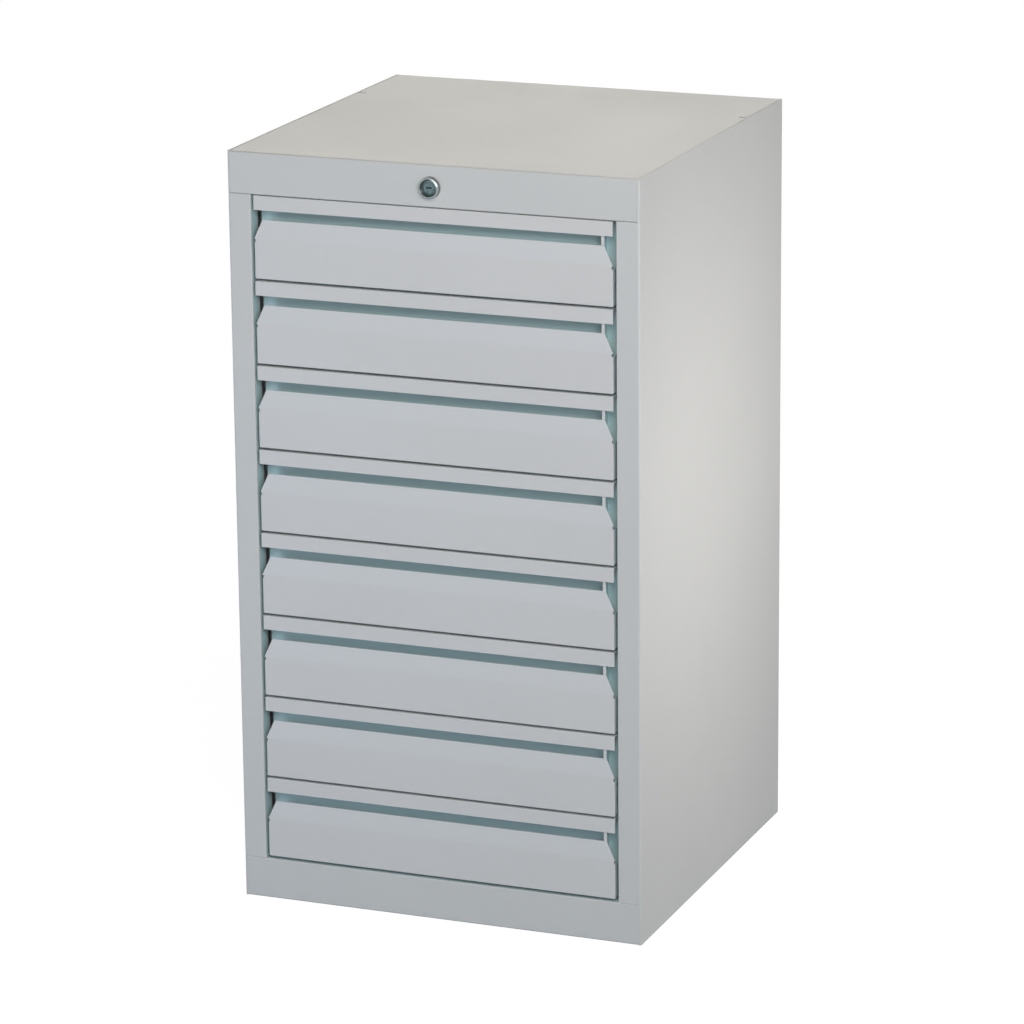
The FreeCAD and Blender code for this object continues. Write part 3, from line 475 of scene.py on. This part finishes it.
def makeLockPlug(options=lock):
    bm = bmesh.new()
    wide, tall, deep = [size * mm for size in options["keySlot"]]
    face, radius, end = [options[name] * mm for name in ("plugFace", "plugRadius", "plugEnd")]
    inset, fall = [size * mm for size in options["plugEdge"]]
    tailRadius, tailLength = [size * mm for size in options["tail"]]
    facing = Matrix.Rotation(radians(90), 4, "X")
    wider, squash = options["slotRound"]
    lipDepth, narrower = options["slotLip"]
    circle, steps = bmesh.ops.create_circle, options["plugSteps"]
    outer = circle(bm, segments=steps, radius=radius - inset, matrix=facing)["verts"]
    inner = circle(bm, segments=steps, radius=wide * wider, matrix=facing)["verts"]
    for vert in inner:
        vert.co.x = max(-wide, min(wide, vert.co.x))
        vert.co.z = max(-tall, min(tall, vert.co.z * squash))
    bmesh.ops.translate(bm, verts=outer + inner, vec=(0, face, 0))
    outerEdges = list({edge for vert in outer for edge in vert.link_edges})
    innerEdges = list({edge for vert in inner for edge in vert.link_edges})
    bmesh.ops.bridge_loops(bm, edges=outerEdges + innerEdges)
    slotLip = drawnBack(bm, innerEdges, lipDepth * mm, narrower)
    slotFloor = drawnBack(bm, slotLip, deep, 1.0)
    bmesh.ops.contextual_create(bm, geom=slotFloor)
    skirt = drawnBack(bm, outerEdges, fall, radius / (radius - inset))
    skirtEnd = drawnBack(bm, skirt, end - face - fall, 1.0)
    tail = drawnBack(bm, skirtEnd, 0.0, tailRadius / radius)
    tailEnd = drawnBack(bm, tail, tailLength, 1.0)
    bmesh.ops.contextual_create(bm, geom=tailEnd)
    bmesh.ops.remove_doubles(bm, verts=bm.verts, dist=closeBy)
    bmesh.ops.recalc_face_normals(bm, faces=bm.faces)
    bmesh.ops.translate(bm, verts=bm.verts, vec=lockPlace)
    piece = keepPiece(bm, "lockPlug", plugShadedNickel, "lock_plug")
    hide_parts("lock_plug")


makeLockCollar()
makeLockPlug()
print("lock made")


rivets = {
    "radius": 0.0034,
    "height": 0.0011,
    "steps": (16, 8),
    "sheet": 0.001,                         # the tray's wall
    "level": 0.0315,                        # the runner's axis above the lower edge of a front
    "places": (-0.205, -0.09, 0.04, 0.16),  # along the tray
}


# heads of the rivets that hold the drawer's runner sections, on the inside of the tray
def makeTrayRivets(number, options=rivets):
    low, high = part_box(f"drawer_{number}_tray")
    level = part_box(f"drawer_{number}_front")[0][2] + options["level"]
    around, upward = options["steps"]
    dome = (options["radius"], options["radius"], options["height"])
    bm = bmesh.new()
    for side in (-1, 1):
        wall = side * ((high[0] - low[0]) / 2 - options["sheet"])
        inward = Matrix.Rotation(radians(-90 * side), 3, "Y")
        for place in options["places"]:
            made = bmesh.ops.create_uvsphere(
                bm, u_segments=around, v_segments=upward, radius=1.0,
            )["verts"]
            for vert in made:   # the lower half goes flat
                vert.co.z = max(0.0, vert.co.z)
            bmesh.ops.scale(bm, vec=dome, verts=made)
            bmesh.ops.rotate(bm, cent=(0, 0, 0), matrix=inward, verts=made)
            bmesh.ops.translate(bm, vec=(wall, place, level), verts=made)
    bmesh.ops.remove_doubles(bm, verts=bm.verts, dist=closeBy)
    bmesh.ops.dissolve_degenerate(bm, edges=bm.edges, dist=closeBy / 2)
    bmesh.ops.recalc_face_normals(bm, faces=bm.faces)
    keepPiece(bm, f"drawer_{number}_rivets", zincCoat, f"drawer_{number}")


for number in drawerNumbers:
    makeTrayRivets(number)
print("tray rivets made")


# stage, light and camera

stage = {
    "floorSize": 80.0,
    "fade": (0.96, 1.6),                  # how far out lit paper turns into plain white
    "glow": 0.90,                         # the near floor's own white, under its lit paper
    "paper": (0.24, 0.24, 0.24),
    "bounce": (0.42, 0.46, 0.47),         # what the floor gives back to the steel
    "ambient": (0.03, 0.035, 0.036),
}


# 1 for what the camera sees, straight or in a gloss or through something, and 0 for the rest
def seenBy(start):
    rays = ("Is Camera Ray", "Is Glossy Ray", "Is Transmission Ray")
    straight, glossy, through = [start.make("ShaderNodeLightPath", output=ray) for ray in rays]
    return straight.most(glossy).most(through)


def makeFloor(options=stage):
    bm = bmesh.new()
    bmesh.ops.create_grid(bm, x_segments=2, y_segments=2, size=options["floorSize"] / 2)
    mesh = bpy.data.meshes.new("floor")
    bm.to_mesh(mesh)
    bm.free()
    floor = bpy.data.objects.new("floor", mesh)
    scene.collection.objects.link(floor)
    material = bpy.data.materials.new("paleFloor")
    material.use_nodes = True
    tree = material.node_tree
    tree.nodes.clear()
    start = Shade(tree)
    x, y = start.make("ShaderNodeTexCoord", output="Object").parts()[:2]
    away = ((x * x + y * y) ** 0.5).rise(*options["fade"])
    plain = {"Color": rgb(1, 1, 1), "Strength": 1.0}
    white = start.make("ShaderNodeEmission", None, plain)
    glow = start.make("ShaderNodeEmission", None, dict(plain, Strength=options["glow"]))
    paper = start.make("ShaderNodeBsdfDiffuse", None, {"Color": rgb(*options["paper"])})
    near = start.make("ShaderNodeAddShader", None, {0: glow, 1: paper})
    shown = start.make("ShaderNodeMixShader", None, {0: away, 1: near, 2: white})
    bounce = start.make("ShaderNodeBsdfDiffuse", None, {"Color": rgb(*options["bounce"])})
    both = start.make("ShaderNodeMixShader", None, {0: seenBy(start), 1: bounce, 2: shown})
    start.make("ShaderNodeOutputMaterial", None, {"Surface": both})
    mesh.materials.append(material)


def makeWorld(options=stage):
    world = bpy.data.worlds.new("studio")
    scene.world = world
    world.use_nodes = True
    tree = world.node_tree
    tree.nodes.clear()
    start = Shade(tree)
    plain = {"Color": rgb(1, 1, 1), "Strength": 1.0}
    soft = start.make("ShaderNodeBackground", None, dict(plain, Color=rgb(*options["ambient"])))
    white = start.make("ShaderNodeBackground", None, plain)
    both = start.make("ShaderNodeMixShader", None, {0: seenBy(start), 1: soft, 2: white})
    start.make("ShaderNodeOutputWorld", None, {"Surface": both})


# what each lamp gives is its watts in red, green and blue
lamps = {
    "key": {
        "place": (1.45, -2.612, 1.852), "aim": (0.0, -0.1, 0.5),
        "size": 1.6, "watts": (46.8, 47.6, 49.8),
    },
    "rightFill": {
        "place": (2.512, -1.55, 1.852), "aim": (0.0, -0.1, 0.5),
        "size": 1.6, "watts": (14.0, 13.6, 13.9),
    },
    "rightLow": {
        "place": (2.765, -1.696, 0.723), "aim": (0.0, -0.1, 0.5),
        "size": 1.6, "watts": (3.4, 3.9, 4.8),
    },
    "topFill": {
        "place": (0.35, -1.5, 1.9), "aim": (0.0, -0.25, 0.75),
        "size": 0.8, "watts": (6.5, 5.9, 5.0),
    },
    "sidePool": {
        "place": (0.75, -0.05, 0.54), "aim": (0.25, -0.04, 0.53),
        "size": 0.35, "watts": (1.7, 1.6, 1.52),
    },
    "sideFill": {
        "place": (1.813, 0.745, 0.75), "aim": (0.25, -0.05, 0.55),
        "size": 0.9, "watts": (3.4, 3.2, 3.0),
    },
    "lowFill": {
        "place": (-0.9, -1.5, 0.25), "aim": (-0.15, -0.25, 0.3),
        "size": 0.8, "watts": (5.7, 6.5, 7.7),
    },
    "leftFill": {
        "place": (-3.2, 0.9, 0.5), "aim": (0.0, 0.0, 0.45),
        "size": 1.8, "watts": (29.5, 30.0, 30.5),
    },
    "backLow": {
        "place": (-0.6, 3.0, 0.5), "aim": (0.0, 0.25, 0.45),
        "size": 0.7, "watts": (22.0, 22.5, 24.0),
    },
    "backFill": {
        "place": (-1.2, 3.4, 1.9), "aim": (0.0, 0.2, 0.5),
        "size": 1.8, "watts": (30.4, 29.0, 26.0),
    },
}


def makeLamps():
    for name, options in lamps.items():
        data = bpy.data.lights.new(name, "AREA")
        data.shape = "SQUARE"
        data.size = options["size"]
        data.energy = max(options["watts"])
        data.color = [level / data.energy for level in options["watts"]]
        lamp = bpy.data.objects.new(name, data)
        place, aim = Vector(options["place"]), Vector(options["aim"])
        lamp.location = place
        lamp.visible_camera = False
        lamp.rotation_mode = "QUATERNION"
        lamp.rotation_quaternion = (aim - place).to_track_quat("-Z", "Y")
        scene.collection.objects.link(lamp)


viewpoint = {
    "place": (2.0288, -5.1269, 1.9795),
    "sensor": 36.0,
    "lens": 168.737,
    "turn": 21.628,           # degrees about the upright axis, then down, then round the view
    "down": 15.700,
    "roll": -0.560,
    "clip": (0.1, 50.0),
}


def makeCamera(options=viewpoint):
    data = bpy.data.cameras.new("camera")
    data.sensor_width = options["sensor"]
    data.lens = options["lens"]
    data.clip_start, data.clip_end = options["clip"]
    camera = bpy.data.objects.new("camera", data)
    camera.location = options["place"]
    turn = Matrix.Rotation(radians(options["turn"]), 4, "Z")
    tip = Matrix.Rotation(radians(90.0 - options["down"]), 4, "X")
    roll = Matrix.Rotation(radians(options["roll"]), 4, "Z")
    camera.rotation_euler = (turn @ tip @ roll).to_euler()
    scene.collection.objects.link(camera)
    scene.camera = camera


makeFloor()
makeWorld()
makeLamps()
makeCamera()
scene.view_settings.view_transform = "Standard"
print("stage, lamps and camera set")
